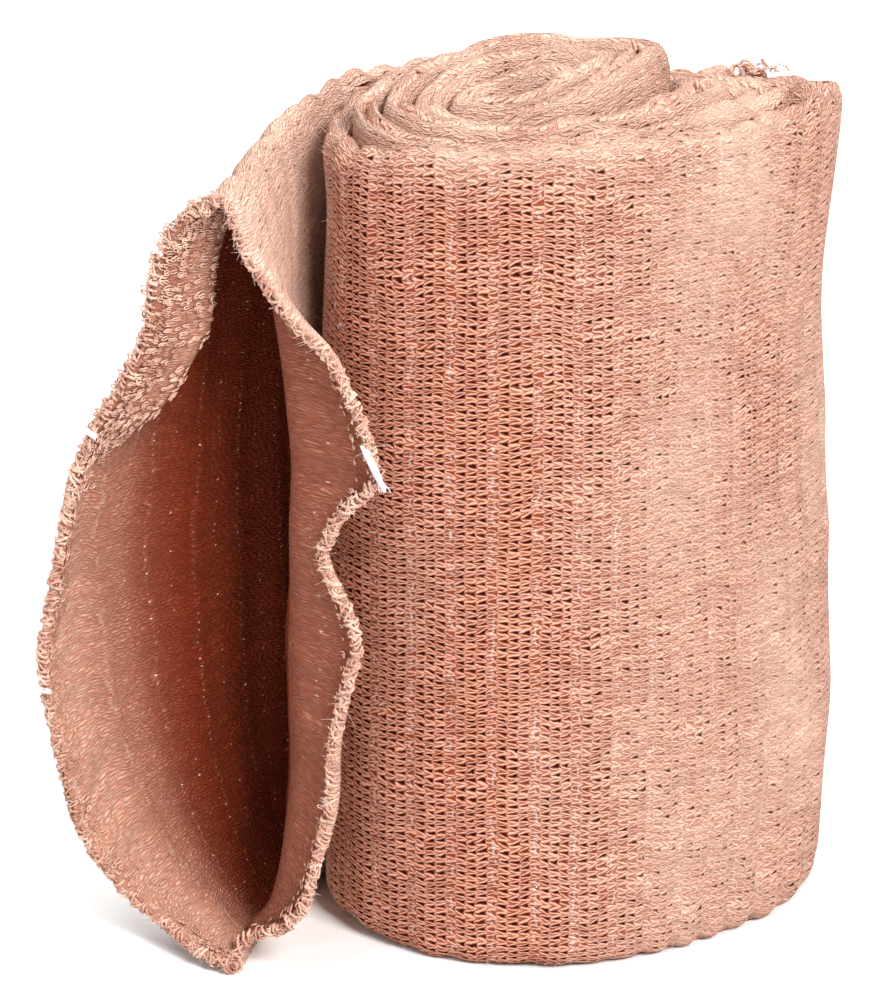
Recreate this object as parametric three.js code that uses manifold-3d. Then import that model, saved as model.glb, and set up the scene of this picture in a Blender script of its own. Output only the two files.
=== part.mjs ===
// Tubular bandage: a flattened knitted tube, loosely wound and standing on its edge.
// Millimetres, +Z up, the open end of the tube faces -Y, the floor is z = 0.
import * as THREE from "three";
import Module from "manifold-3d";

const wasm = await Module();
wasm.setup();

// Named sizes
const FLAT_WIDTH = 100;      // width of the tube pressed flat, which is the height of the roll
const FOLD_HALF = 1.95;      // half the thickness of one flattened turn at its folded edge
const CLOTH = 1.5;           // thickness of one layer of the knit
const GROOVE = 1.9;          // depth of the valley between two turns
const RIB_DEPTH = 0.35;      // how far an elastic line pulls the wall in
const RIB_DIP = 0.8;         // how far an elastic line pulls the folded edges together
const STEPS = 84;            // stations in one turn, three to each elastic line
const SEAM = 30;             // station of the sixth turn where the loose end leaves the roll
const WALL_ROWS = 9;         // rows of points down the outer wall
const MIDDLE = [-1.2, -3.15]; // where the middle of the whole footprint falls in the plan tables

// Where each turn passes on its right, back, left and front, and how high it stands there
const turns = [
  { right: [15.0, 1.8, 103.4], back: [12.0, 3.0, 103.4], left: [2.6, -2.4, 101.4], front: [7.0, -3.1, 101.6] },
  { right: [18.6, 3.2, 104.6], back: [13.5, 6.4, 104.2], left: [-2.2, -2.8, 101.2], front: [6.0, -6.2, 101.0] },
  { right: [22.6, 5.2, 104.9], back: [12.0, 9.8, 104.4], left: [-5.6, -3.0, 101.6], front: [6.5, -9.5, 100.4] },
  { right: [29.6, 4.4, 101.2], back: [12.5, 13.3, 103.4], left: [-9.0, -3.0, 101.2], front: [7.0, -13.0, 100.2] },
  { right: [36.6, 6.2, 100.4], back: [12.5, 16.6, 101.6], left: [-12.0, -3.2, 98.6], front: [8.0, -16.6, 100.3] },
  { right: [44.0, 8.4, 99.7], back: [12.0, 19.8, 99.4], left: [-16.0, -3.2, 99.6], front: [8.0, -20.0, 99.6] },
];
// The slit in the middle that the first turn goes round
const slit = { left: [7.2, -0.5], right: [15.0, 1.8] };
// How far the right-hand end of the roll leans out or in at each height
const lean = [
  { height: 0, out: 0.9 }, { height: 24, out: 0.7 }, { height: 44, out: 0.3 }, { height: 56, out: -0.9 },
  { height: 72, out: -1.1 }, { height: 88, out: 0.2 }, { height: 100, out: 0.8 },
];

// The loose end in plan: how far along, where its middle is, and the half widths it opens to
const loose = [
  { along: 0.00, x: -4.6, y: 16.6, top: 99.2, left: 1.6, right: 1.6 },
  { along: 0.07, x: -7.0, y: 14.9, top: 100.2, left: 1.75, right: 1.75 },
  { along: 0.14, x: -9.4, y: 12.9, top: 100.8, left: 1.9, right: 1.9 },
  { along: 0.21, x: -11.5, y: 10.7, top: 100.4, left: 1.9, right: 1.9 },
  { along: 0.28, x: -13.3, y: 8.2, top: 100.8, left: 2.0, right: 1.9 },
  { along: 0.35, x: -14.9, y: 5.4, top: 99.7, left: 2.4, right: 2.0 },
  { along: 0.42, x: -16.4, y: 2.4, top: 100.0, left: 4.0, right: 2.0 },
  { along: 0.50, x: -17.7, y: -0.7, top: 99.6, left: 6.4, right: 2.1 },
  { along: 0.58, x: -18.9, y: -4.0, top: 99.9, left: 9.2, right: 2.4 },
  { along: 0.66, x: -20.1, y: -7.3, top: 99.4, left: 12.2, right: 3.2 },
  { along: 0.74, x: -21.2, y: -10.4, top: 99.6, left: 15.2, right: 4.6 },
  { along: 0.82, x: -22.3, y: -13.3, top: 98.9, left: 18.2, right: 6.0 },
  { along: 0.89, x: -23.2, y: -15.6, top: 98.6, left: 20.8, right: 7.6 },
  { along: 0.95, x: -23.9, y: -17.3, top: 98.0, left: 23.0, right: 10.5 },
  { along: 1.00, x: -24.5, y: -18.7, top: 97.8, left: 24.6, right: 17.0 },
];
// The cut rim: half widths to the left and right of its middle line at each height
const rim = [
  { height: 0.0, left: 2.6, right: 1.8 }, { height: 4.0, left: 12.4, right: 5.6 },
  { height: 9.0, left: 17.0, right: 9.8 }, { height: 14.0, left: 20.2, right: 11.0 },
  { height: 22.0, left: 22.4, right: 12.8 }, { height: 30.0, left: 24.2, right: 13.2 },
  { height: 36.0, left: 25.0, right: 14.8 }, { height: 44.0, left: 23.6, right: 17.0 },
  { height: 48.0, left: 22.8, right: 15.6 }, { height: 53.5, left: 21.6, right: 11.8 },
  { height: 59.0, left: 20.2, right: 14.8 }, { height: 64.0, left: 18.2, right: 19.2 },
  { height: 71.0, left: 14.4, right: 17.6 }, { height: 79.0, left: 10.6, right: 14.6 },
  { height: 83.0, left: 10.4, right: 9.4 }, { height: 89.5, left: 9.4, right: 4.0 },
  { height: 94.0, left: 7.2, right: 2.4 }, { height: 98.0, left: 2.6, right: 1.8 },
];

// White elastic threads that stand out of the cut rim: side, height, length, width and how they point
const elasticEnds = [
  { side: "right", height: 66.5, long: 5.2, wide: 1.0, out: 0.55, down: -0.95 },
  { side: "left", height: 62.0, long: 2.4, wide: 0.8, out: 0.8, down: 0.6 },
  { side: "left", height: 88.0, long: 2.2, wide: 0.8, out: 0.7, down: 0.8 },
  { side: "left", height: 31.0, long: 1.8, wide: 0.7, out: 1.0, down: 0.2 },
];

const lerp = (a, b, t) => a + (b - a) * t;
const clamp = (v, lo, hi) => Math.min(hi, Math.max(lo, v));
const smooth = (a, b, v) => {
  const t = clamp((v - a) / (b - a), 0, 1);
  return t * t * (3 - 2 * t);
};
// Straight-line reading of one column of a table against another
function read(table, key, column, value) {
  let k = 1;
  while (k < table.length - 1 && table[k][key] < value) k += 1;
  const a = table[k - 1];
  const b = table[k];
  return lerp(a[column], b[column], clamp((value - a[key]) / (b[key] - a[key]), 0, 1));
}

// A surface collected as triangles between named points
class Skin {
  constructor() {
    this.points = [];
    this.faces = [];
  }
  add(x, y, z) {
    this.points.push([x, y, z]);
    return this.points.length - 1;
  }
  tri(a, b, c) {
    if (a !== b && b !== c && c !== a) this.faces.push([a, b, c]);
  }
  quad(a, b, c, d) {
    this.tri(a, b, c);
    this.tri(a, c, d);
  }
  solid() {
    return new wasm.Manifold(new wasm.Mesh({
      numProp: 3,
      vertProperties: new Float32Array(this.points.flat()),
      triVerts: new Uint32Array(this.faces.flat()),
    }));
  }
}

// The winding as a curve of quarter ellipses through the table of turns.
// Phase counts turns: whole numbers are on the right, then back, left and front.
function windingAt(phase) {
  const turn = Math.floor(phase);
  const quarter = Math.min(3, Math.floor((phase - turn) * 4));
  const angle = ((phase - turn) * 4 - quarter) * Math.PI / 2;
  const row = turns[turn];
  const next = turns[turn + 1];
  const marks = [row.right, row.back, row.left, row.front, next ? next.right : row.right];
  const a = marks[quarter];
  const b = marks[quarter + 1];
  const s = Math.sin(angle);
  const c = 1 - Math.cos(angle);
  const upright = quarter % 2 === 0;
  const wedge = turn > 2 ? 0.6 : 0.35;
  const straight = quarter === 0 ? wedge : (quarter === 3 ? 0.25 : 0);
  const t = (s + c) / 2;
  const x = lerp(a[0], b[0], lerp(upright ? c : s, t, straight));
  const y = lerp(a[1], b[1], lerp(upright ? s : c, t, straight));
  return [x, y, lerp(a[2], b[2], angle / (Math.PI / 2))];
}

// Stations are even along the outermost turn, so that the elastic lines are evenly spaced
function evenPhases() {
  const fine = 960;
  const lengths = [0];
  for (let i = 1; i <= fine; i += 1) {
    const a = windingAt(4 + (i - 1) / fine);
    const b = windingAt(4 + i / fine);
    lengths.push(lengths[i - 1] + Math.hypot(b[0] - a[0], b[1] - a[1]));
  }
  const phases = [];
  let k = 0;
  for (let j = 0; j < STEPS; j += 1) {
    const want = lengths[fine] * j / STEPS;
    while (lengths[k + 1] < want) k += 1;
    phases.push((k + (want - lengths[k]) / (lengths[k + 1] - lengths[k])) / fine);
  }
  return phases;
}
const phases = evenPhases();
const END = 5 * STEPS + SEAM;
const START_OUTER = END - STEPS;
const station = (i) => windingAt(Math.floor(i / STEPS) + phases[i % STEPS]);

// The middle slit, as the turn inside the first one
function slitAt(i) {
  const t = 0.5 - 0.5 * Math.cos(2 * Math.PI * phases[i]);
  return [lerp(slit.right[0], slit.left[0], t), lerp(slit.right[1], slit.left[1], t), 0];
}
// How much an elastic line pulls in at a station: 1 on the line, 0 between lines
const ribAt = (i) => (i % 3 === 0 ? 1 : 0);

// One end of the roll is a spiral of folded edges with valleys between them
function rollSolid() {
  const skin = new Skin();
  const crests = [];
  const put = (x, y, z) => skin.add(x + read(lean, "height", "out", z) * smooth(18, 42, x), y, z);
  const bottomOf = (i, z) => (i >= START_OUTER - 60 ? 0 : clamp((z - 99.4) * 0.8, 0, 4));
  for (let i = 0; i <= END; i += 1) {
    const [x, y, z] = station(i);
    const outer = i >= START_OUTER;
    const dip = outer ? RIB_DIP * ribAt(i) : 0.25 * ribAt(i);
    crests.push({ x, y, top: z - dip, base: bottomOf(i, z) });
  }
  // Unit direction out of the roll at a station of the outermost turn
  const outward = (i) => {
    const a = crests[Math.max(i - 1, 0)];
    const b = crests[Math.min(i + 1, END)];
    const l = Math.hypot(b.x - a.x, b.y - a.y);
    return [(b.y - a.y) / l, -(b.x - a.x) / l];
  };
  // Rows of points across one turn: on the side away from the middle and on the side towards it
  const sides = crests.map((c, i) => {
    const point = {};
    const row = (other, deep) => {
      const dx = other.x - c.x;
      const dy = other.y - c.y;
      const l = Math.hypot(dx, dy) || 1;
      const edge = Math.min(FOLD_HALF + 0.7 * Math.max(0, l - 2 * FOLD_HALF), l * 0.47);
      const at = (d, z) => put(c.x + dx / l * d, c.y + dy / l * d, z);
      const slack = clamp(l - 2 * FOLD_HALF - 0.4, 0, 3);
      const low = Math.min(c.top, other.top ?? c.top) - GROOVE - deep - 0.4 * slack;
      return {
        topEdge: at(edge, low),
        topShoulder: at(edge * 0.62, c.top - 0.42),
        baseShoulder: at(edge * 0.62, c.base),
        baseEdge: at(edge, c.base + GROOVE * 0.8),
      };
    };
    const inner = i >= STEPS ? crests[i - STEPS] : { x: slitAt(i)[0], y: slitAt(i)[1] };
    const gap = (k) => (k > START_OUTER ? 2.6 * Math.exp(-(((k - START_OUTER - 25) / 5) ** 2)) : 0);
    if (i > 0) point.inward = row(inner, gap(i));
    const next = i + STEPS <= END ? crests[i + STEPS] : null;
    if (next && i > 0) point.outward = row(next, gap(i + STEPS));
    point.crest = put(c.x, c.y, c.top);
    point.base = put(c.x, c.y, c.base);
    return point;
  });
  // The outer wall, a column of points for each station of the outermost turn
  const columns = [];
  for (let i = START_OUTER; i <= END; i += 1) {
    const c = crests[i];
    const [nx, ny] = outward(i);
    const pull = i === START_OUTER ? 0 : RIB_DEPTH * ribAt(i);
    const column = [];
    for (let k = 0; k < WALL_ROWS; k += 1) {
      const t = k / (WALL_ROWS - 1);
      const z = lerp(c.top - GROOVE, c.base + GROOVE * 0.8, t);
      const edge = k === 0 || k === WALL_ROWS - 1;
      const belly = edge ? 0 : 0.35 + 0.25 * Math.sin(5.1 * t + 0.21 * i);
      const d = FOLD_HALF - pull + (i === START_OUTER ? 0 : belly);
      column.push(i === START_OUTER && edge
        ? (k === 0 ? sides[i].outward.topEdge : sides[i].outward.baseEdge)
        : put(c.x + nx * d, c.y + ny * d, z));
    }
    const topShoulder = i === START_OUTER ? sides[i].outward.topShoulder
      : put(c.x + nx * 1.15, c.y + ny * 1.15, c.top - 0.42);
    const baseShoulder = i === START_OUTER ? sides[i].outward.baseShoulder
      : put(c.x + nx * 1.15, c.y + ny * 1.15, c.base);
    columns.push({ column, topShoulder, baseShoulder });
  }
  // Faces between station a and station b of one turn, then the valley out to the next turn
  const band = (a, b) => {
    const A = sides[a];
    const B = sides[b];
    const ai = A.inward ?? { topEdge: A.crest, topShoulder: A.crest, baseShoulder: A.base, baseEdge: A.base };
    skin.quad(ai.topEdge, ai.topShoulder, B.inward.topShoulder, B.inward.topEdge);
    skin.quad(ai.topShoulder, A.crest, B.crest, B.inward.topShoulder);
    skin.quad(ai.baseShoulder, ai.baseEdge, B.inward.baseEdge, B.inward.baseShoulder);
    skin.quad(A.base, ai.baseShoulder, B.inward.baseShoulder, B.base);
  };
  const bandOut = (A, B, ao, bo) => {
    skin.quad(A.crest, ao.topShoulder, bo.topShoulder, B.crest);
    skin.quad(ao.topShoulder, ao.topEdge, bo.topEdge, bo.topShoulder);
    skin.quad(ao.baseShoulder, A.base, B.base, bo.baseShoulder);
    skin.quad(ao.baseEdge, ao.baseShoulder, bo.baseShoulder, bo.baseEdge);
  };
  for (let a = 0; a < START_OUTER; a += 2) {
    const b = a + 2;
    const A = sides[a];
    const B = sides[b];
    band(a, b);
    const start = { topEdge: A.crest, topShoulder: A.crest, baseShoulder: A.base, baseEdge: A.base };
    const ao = A.outward ?? start;
    const bo = B.outward;
    bandOut(A, B, ao, bo);
    const C = sides[a + STEPS].inward;
    const D = sides[b + STEPS].inward;
    if (a + STEPS < START_OUTER) {
      skin.quad(ao.topEdge, C.topEdge, D.topEdge, bo.topEdge);
      skin.quad(C.baseEdge, ao.baseEdge, bo.baseEdge, D.baseEdge);
    } else {
      const M = sides[a + 1 + STEPS].inward;
      skin.tri(ao.topEdge, C.topEdge, M.topEdge);
      skin.tri(ao.topEdge, M.topEdge, bo.topEdge);
      skin.tri(bo.topEdge, M.topEdge, D.topEdge);
      skin.tri(C.baseEdge, ao.baseEdge, M.baseEdge);
      skin.tri(M.baseEdge, ao.baseEdge, bo.baseEdge);
      skin.tri(M.baseEdge, bo.baseEdge, D.baseEdge);
    }
  }
  // The floor of the middle slit joins the first turn's inner edge to itself
  const slitTop = [];
  const slitBase = [];
  for (let j = 0; j <= STEPS / 2; j += 2) {
    const i = j;
    const [x, y] = slitAt(i);
    slitTop.push(j === 0 ? sides[0].crest : put(x, y, station(i)[2] - 3.4));
    slitBase.push(j === 0 ? sides[0].base : put(x, y, crests[i].base + 3));
  }
  const fold = (a) => (a <= STEPS / 2 ? a / 2 : (STEPS - a) / 2);
  for (let a = 0; a < STEPS; a += 2) {
    const A = sides[a].inward ?? { topEdge: sides[0].crest, baseEdge: sides[0].base };
    const B = sides[a + 2].inward;
    skin.quad(slitTop[fold(a)], A.topEdge, B.topEdge, slitTop[fold(a + 2)]);
    skin.quad(A.baseEdge, slitBase[fold(a)], slitBase[fold(a + 2)], B.baseEdge);
  }
  // The outermost turn: its folded edges, its wall, and the blunt end the loose end grows from
  for (let a = START_OUTER; a < END; a += 1) {
    const A = columns[a - START_OUTER];
    const B = columns[a - START_OUTER + 1];
    const p = sides[a];
    const q = sides[a + 1];
    band(a, a + 1);
    skin.quad(p.crest, A.topShoulder, B.topShoulder, q.crest);
    skin.quad(A.topShoulder, A.column[0], B.column[0], B.topShoulder);
    for (let k = 0; k < WALL_ROWS - 1; k += 1) {
      skin.quad(A.column[k], A.column[k + 1], B.column[k + 1], B.column[k]);
    }
    skin.quad(A.column[WALL_ROWS - 1], A.baseShoulder, B.baseShoulder, B.column[WALL_ROWS - 1]);
    skin.quad(A.baseShoulder, p.base, q.base, B.baseShoulder);
  }
  const first = columns[0].column;
  const last = columns[columns.length - 1];
  const end = sides[END];
  for (let k = 0; k < WALL_ROWS - 1; k += 1) {
    skin.quad(last.column[k], last.column[k + 1], first[k + 1], first[k]);
  }
  const fan = (hub, ...ring) => {
    for (let k = 1; k < ring.length; k += 1) skin.tri(hub, ring[k - 1], ring[k]);
  };
  fan(first[0], end.inward.topEdge, end.inward.topShoulder, end.crest, last.topShoulder, last.column[0]);
  fan(first[WALL_ROWS - 1], last.column[WALL_ROWS - 1], last.baseShoulder, end.base,
    end.inward.baseShoulder, end.inward.baseEdge);
  return skin.solid();
}

// Offsets of the loose end to the left or right of its middle line
function openingAt(row, side, z) {
  const t = z / FLAT_WIDTH;
  const leaf = Math.pow(clamp(Math.sin(Math.PI * Math.pow(t, 0.86)), 0, 1), 0.75);
  const inside = 1.9 + (row[side] - 1.9) * (side === "left" ? leaf : Math.min(1, leaf * 1.15));
  const cut = read(rim, "height", side, z);
  const curl = side === "left" ? smooth(0.84, 1, row.along) : smooth(0.86, 1, row.along);
  const folded = Math.min(1, row.left / 1.9);
  return lerp(inside * folded, cut, curl);
}

// The loose end: the tube leaves the roll flat and opens into a tall leaf-shaped mouth
const LEVELS = 30;           // rows of points up each side of the mouth
function looseEndSolid() {
  const skin = new Skin();
  const outer = [];
  const across = (k) => {
    const a = loose[Math.max(k - 1, 0)];
    const b = loose[Math.min(k + 1, loose.length - 1)];
    const l = Math.hypot(b.x - a.x, b.y - a.y);
    return [(b.y - a.y) / l, -(b.x - a.x) / l];
  };
  // One ring of the tube's outside, up the left side from the floor and down the right side
  loose.forEach((row, k) => {
    const [nx, ny] = across(k);
    const low = k === 0 ? 0.7 : 0.35 * ribAt(k);
    const ring = [];
    for (let j = 0; j < 2 * LEVELS; j += 1) {
      const left = j <= LEVELS;
      const t = left ? j / LEVELS : 2 - j / LEVELS;
      const even = 0.5 - 0.5 * Math.cos(Math.PI * t);
      const z = lerp(low, row.top, lerp(t, even, 0.55));
      const fold = Math.sqrt(clamp(1 - Math.pow(2 * t - 1, 12), 0, 1));
      const reach = (j === 0 || j === LEVELS) ? 0 : openingAt(row, left ? "left" : "right", z) * fold;
      const d = left ? reach : -reach;
      ring.push([row.x + nx * d, row.y + ny * d, z]);
    }
    outer.push(ring);
  });
  const N = 2 * LEVELS;
  // The pocket inside keeps one thickness of cloth away from the outside
  const firstOpen = 5;
  const inner = [];
  for (let k = firstOpen; k < loose.length; k += 1) {
    const row = loose[k];
    const [nx, ny] = across(k);
    const ring = outer[k].map((p, j) => {
      const a = outer[k][(j + N - 1) % N];
      const b = outer[k][(j + 1) % N];
      const q = [(b[0] - a[0]) * nx + (b[1] - a[1]) * ny, b[2] - a[2]];
      const l = Math.hypot(q[0], q[1]);
      const slope = k === loose.length - 1 ? 1 : clamp(1.1 - 0.5 * row.along, 0.6, 1);
      const d = CLOTH * slope;
      return [p[0] - nx * q[1] / l * d, p[1] - ny * q[1] / l * d, p[2] + q[0] / l * d];
    });
    inner.push(ring);
  }
  const deep = inner[0].map((p, j) => {
    const [nx, ny] = across(firstOpen);
    const t = j <= LEVELS ? j / LEVELS : 2 - j / LEVELS;
    const d = (j <= LEVELS ? 1 : -1) * 0.25 * Math.sin(Math.PI * t);
    const row = loose[firstOpen];
    return [row.x + nx * (d + 0.2), row.y + ny * (d + 0.2), lerp(2.2, row.top - 2.2, t)];
  });
  inner[0] = deep;
  const ids = (ring) => ring.map((p) => skin.add(...p));
  const O = outer.map(ids);
  const I = inner.map(ids);
  for (let k = 0; k < O.length - 1; k += 1) {
    for (let j = 0; j < N; j += 1) {
      const m = (j + 1) % N;
      skin.quad(O[k][m], O[k][j], O[k + 1][j], O[k + 1][m]);
    }
  }
  for (let k = 0; k < I.length - 1; k += 1) {
    for (let j = 0; j < N; j += 1) {
      const m = (j + 1) % N;
      skin.quad(I[k][j], I[k][m], I[k + 1][m], I[k + 1][j]);
    }
  }
  const lipO = O[O.length - 1];
  const lipI = I[I.length - 1];
  for (let j = 0; j < N; j += 1) {
    const m = (j + 1) % N;
    skin.quad(lipO[m], lipO[j], lipI[j], lipI[m]);
  }
  // Close the buried start and the bottom of the pocket, pairing left and right points
  const close = (ring, flip) => {
    for (let j = 0; j < LEVELS; j += 1) {
      const a = ring[j];
      const b = ring[j + 1];
      const c = ring[(N - j - 1) % N];
      const d = ring[(N - j) % N];
      if (flip) skin.quad(a, b, c, d);
      else skin.quad(d, c, b, a);
    }
  };
  close(O[0], true);
  close(I[0], false);
  return skin.solid();
}

const roll = rollSolid();
const looseEnd = looseEndSolid();
const whole = roll.add(looseEnd);

function meshOf(solid, name, colour, roughness) {
  const m = solid.getMesh();
  const geometry = new THREE.BufferGeometry();
  const points = new Float32Array(m.vertProperties.length / m.numProp * 3);
  for (let i = 0; i < points.length / 3; i += 1) {
    for (let k = 0; k < 3; k += 1) points[3 * i + k] = m.vertProperties[i * m.numProp + k];
  }
  geometry.setAttribute("position", new THREE.BufferAttribute(points, 3));
  geometry.setIndex(new THREE.BufferAttribute(new Uint32Array(m.triVerts), 1));
  geometry.computeVertexNormals();
  const material = new THREE.MeshStandardMaterial({ color: colour, roughness, metalness: 0 });
  material.name = `${name}_cloth`;
  const mesh = new THREE.Mesh(geometry, material);
  mesh.name = name;
  return mesh;
}

const group = new THREE.Group();
group.name = "tubular_bandage_roll";
group.add(meshOf(whole, "tubular_bandage", 0xcf9478, 0.95));
elasticEnds.forEach((e, k) => {
  const rimRow = loose[loose.length - 1];
  const before = loose[loose.length - 2];
  const l = Math.hypot(rimRow.x - before.x, rimRow.y - before.y);
  const ahead = [(rimRow.x - before.x) / l, (rimRow.y - before.y) / l];
  const side = e.side === "left" ? 1 : -1;
  const n = [ahead[1] * side, -ahead[0] * side];
  const d = read(rim, "height", e.side, e.height) - 0.4;
  const start = [rimRow.x + n[0] * d + ahead[0] * 0.95, rimRow.y + n[1] * d + ahead[1] * 0.95, e.height];
  const path = [0, 0.35, 0.7, 1].map((t) => new THREE.Vector3(
    start[0] + n[0] * e.long * e.out * t + ahead[0] * 0.5 * t,
    start[1] + n[1] * e.long * e.out * t + ahead[1] * 0.5 * t,
    start[2] + e.long * e.down * t - 0.25 * e.long * t * t * (side > 0 ? 1 : 0)));
  const section = new THREE.Shape();
  for (let j = 0; j < 8; j += 1) {
    const a = Math.PI / 4 * j;
    const x = 0.3 * Math.cos(a);
    const y = e.wide / 2 * Math.sin(a);
    if (j) section.lineTo(x, y);
    else section.moveTo(x, y);
  }
  const geometry = new THREE.ExtrudeGeometry(section, {
    steps: 6, bevelEnabled: false, extrudePath: new THREE.CatmullRomCurve3(path),
  });
  const material = new THREE.MeshStandardMaterial({ color: 0xe9e6e2, roughness: 0.6, metalness: 0 });
  material.name = "elastic_white";
  const mesh = new THREE.Mesh(geometry, material);
  mesh.name = `elastic_end_${k + 1}`;
  group.add(mesh);
});
group.position.set(-MIDDLE[0], -MIDDLE[1], 0);
export default group;
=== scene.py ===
# %% [markdown]
# # Tubular bandage
# A length of elasticated knitted tube, pressed flat, loosely wound and stood on its edge. Its outer
# end has come off the roll and gapes open. This notebook rebuilds the look of it around the
# measured frame: one long knitted tube, the loops of its cut edge, a few white elastic threads
# and the lint that makes cotton look like cotton.
#
# The first step loads the frame.

import bpy
import numpy as np
from mathutils import Matrix, Vector


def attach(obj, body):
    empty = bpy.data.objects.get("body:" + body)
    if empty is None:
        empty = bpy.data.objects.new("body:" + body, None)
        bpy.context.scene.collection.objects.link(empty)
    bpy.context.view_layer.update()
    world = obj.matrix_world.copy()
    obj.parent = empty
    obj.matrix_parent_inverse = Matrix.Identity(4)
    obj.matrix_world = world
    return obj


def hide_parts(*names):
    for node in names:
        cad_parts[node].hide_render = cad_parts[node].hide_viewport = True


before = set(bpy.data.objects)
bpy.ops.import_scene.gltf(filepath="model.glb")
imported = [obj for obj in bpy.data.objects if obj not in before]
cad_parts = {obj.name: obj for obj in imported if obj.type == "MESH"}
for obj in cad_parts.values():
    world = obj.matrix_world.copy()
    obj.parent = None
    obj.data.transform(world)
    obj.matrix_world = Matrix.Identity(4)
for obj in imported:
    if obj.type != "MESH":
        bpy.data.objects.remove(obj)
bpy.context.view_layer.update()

MM = 0.001                          # tables below are in millimetres
SHIFT = np.array([1.2, 3.15, 0.0])  # from the tables' origin to the middle of the footprint


def put_in_frame(points):
    """Turns table millimetres into metres of the frame: (point + shift) times 0.001."""
    return (points + SHIFT) * MM


def new_object(name, data):
    """Makes an object of a mesh, camera or light and puts it in the scene."""
    thing = bpy.data.objects.new(name, data)
    bpy.context.collection.objects.link(thing)
    return thing


# %% [markdown]
# ## Camera
# The picture was taken with a long lens, a little above the roll and looking down by 22.5 degrees, so
# upright lines stay nearly upright. The lens follows from two numbers: how far the camera stands and
# how many pixels a millimetre covers there.

# %% Camera
PICTURE_HIGH = 1000                # pixels
PICTURE_SHIFT = 7.6                # pixels from the point it looks at up to the picture's middle
LOOK_DOWN = np.radians(22.5)
CAMERA_FAR = 820.0                 # millimetres from the point it looks at
FOCAL_PIXELS = 6975.0
LOOK_AT = np.array([0.0, 0.0, 50.0])
SENSOR = 36.0

ahead = np.array([0.0, np.cos(LOOK_DOWN), -np.sin(LOOK_DOWN)])
upward = np.array([0.0, np.sin(LOOK_DOWN), np.cos(LOOK_DOWN)])
eye = put_in_frame(LOOK_AT - CAMERA_FAR * ahead)
camera_data = bpy.data.cameras.new("camera")
camera_data.lens = FOCAL_PIXELS * SENSOR / PICTURE_HIGH
camera_data.sensor_width = SENSOR
camera_data.shift_y = PICTURE_SHIFT / PICTURE_HIGH
camera_data.clip_start, camera_data.clip_end = 0.05, 20.0
camera = new_object("camera", camera_data)
turn = np.eye(4)
turn[:3, 0], turn[:3, 1], turn[:3, 2], turn[:3, 3] = (1, 0, 0), upward, -ahead, eye
camera.matrix_world = Matrix(turn.tolist())
bpy.context.scene.camera = camera

# %% [markdown]
# ## Helpers
# Every piece is a surface on a grid: rows along it, columns round it. The helpers turn such a block
# of points into a mesh, and give the small formulas that return all through the notebook: a unit
# vector, a soft step, a bell, a soft unevenness, and the reading of a table.

# %% Grid to mesh
def ring_faces(rows, columns):
    """Quads of a grid whose last column joins its first: corners (r, c), (r, c+1), (r+1, c+1), (r+1, c)."""
    r, c = np.meshgrid(np.arange(rows - 1), np.arange(columns), indexing="ij")
    n = (c + 1) % columns
    quads = np.stack([r * columns + c, r * columns + n, (r + 1) * columns + n, (r + 1) * columns + c], -1)
    return quads.reshape(-1, 4)


def mesh_object(name, points, faces):
    """Makes a smooth object from points in metres and quads. Its faces are turned where the sum of
    a.((b - a) x (c - a)) over one triangle of each quad is negative. This orients all pieces outwards
    but elastic_fibrils_1 and elastic_fibrils_4, whose faces look inwards."""
    mesh = bpy.data.meshes.new(name)
    mesh.vertices.add(len(points))
    mesh.vertices.foreach_set("co", np.asarray(points, np.float32).ravel())
    mesh.loops.add(faces.size)
    mesh.loops.foreach_set("vertex_index", faces.astype(np.int32).ravel())
    mesh.polygons.add(len(faces))
    mesh.polygons.foreach_set("loop_start", np.arange(0, faces.size, 4, dtype=np.int32))
    mesh.polygons.foreach_set("loop_total", np.full(len(faces), 4, np.int32))
    mesh.polygons.foreach_set("use_smooth", np.full(len(faces), True))
    mesh.update(calc_edges=True)
    mesh.validate()
    a, b, c = (points[faces[:, k]] for k in range(3))
    if np.einsum("ij,ij->", a, np.cross(b - a, c - a)) < 0:
        mesh.flip_normals()
    print(name, len(faces) * 2, "triangles")
    return new_object(name, mesh)


def unit(v):
    """Each vector divided by its length."""
    return v / np.maximum(np.linalg.norm(v, axis=-1, keepdims=True), 1e-9)


def ease(low, high, value):
    """0 below low, 1 above high, and 3t^2 - 2t^3 between."""
    t = np.clip((np.asarray(value, float) - low) / (high - low), 0, 1)
    return t * t * (3 - 2 * t)


def bell(distance, wide):
    """1 in the middle and 0.37 at the distance wide: e to the power of -(distance / wide)^2."""
    return np.exp(-(distance / wide) ** 2)


def soft_noise(a, b, long_a, long_b, seed):
    """A smooth uneven field on (a, b): nine sine waves of about these lengths, added and divided by
    the square root of 9 / 2."""
    dice = np.random.default_rng(seed)
    total = 0.0
    for _ in range(9):
        wave = dice.normal(size=2) / np.array([long_a, long_b]) * 2 * np.pi * 0.7
        total = total + np.sin(wave[0] * a + wave[1] * b + dice.uniform(0, 2 * np.pi))
    return total / np.sqrt(9 / 2)


def softened(values, reach):
    """A row of numbers averaged over nine neighbours, with weights e^(-x^2) for x up to reach."""
    weights = np.exp(-np.linspace(-reach, reach, 9) ** 2)
    return np.convolve(np.pad(values, 4, mode="edge"), weights / weights.sum(), "valid")


def read(table, rows_at, places):
    """All columns of a table at these places, on straight lines between its rows."""
    return np.stack([np.interp(places, rows_at, column) for column in table.T], -1)


chance = np.random.default_rng(7)   # every scattered strand draws from this one, in order

# %% [markdown]
# ## The path of the tube
# The flattened tube is wound counterclockwise, seen from above, in ever wider turns: five whole ones
# and the start of a sixth. Each is pinned where it passes the right, the back, the left and the
# front of the roll, and quarter ellipses join these pins. The third number is the height of the top
# edge there. The frame was built from nearly the same numbers.

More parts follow.
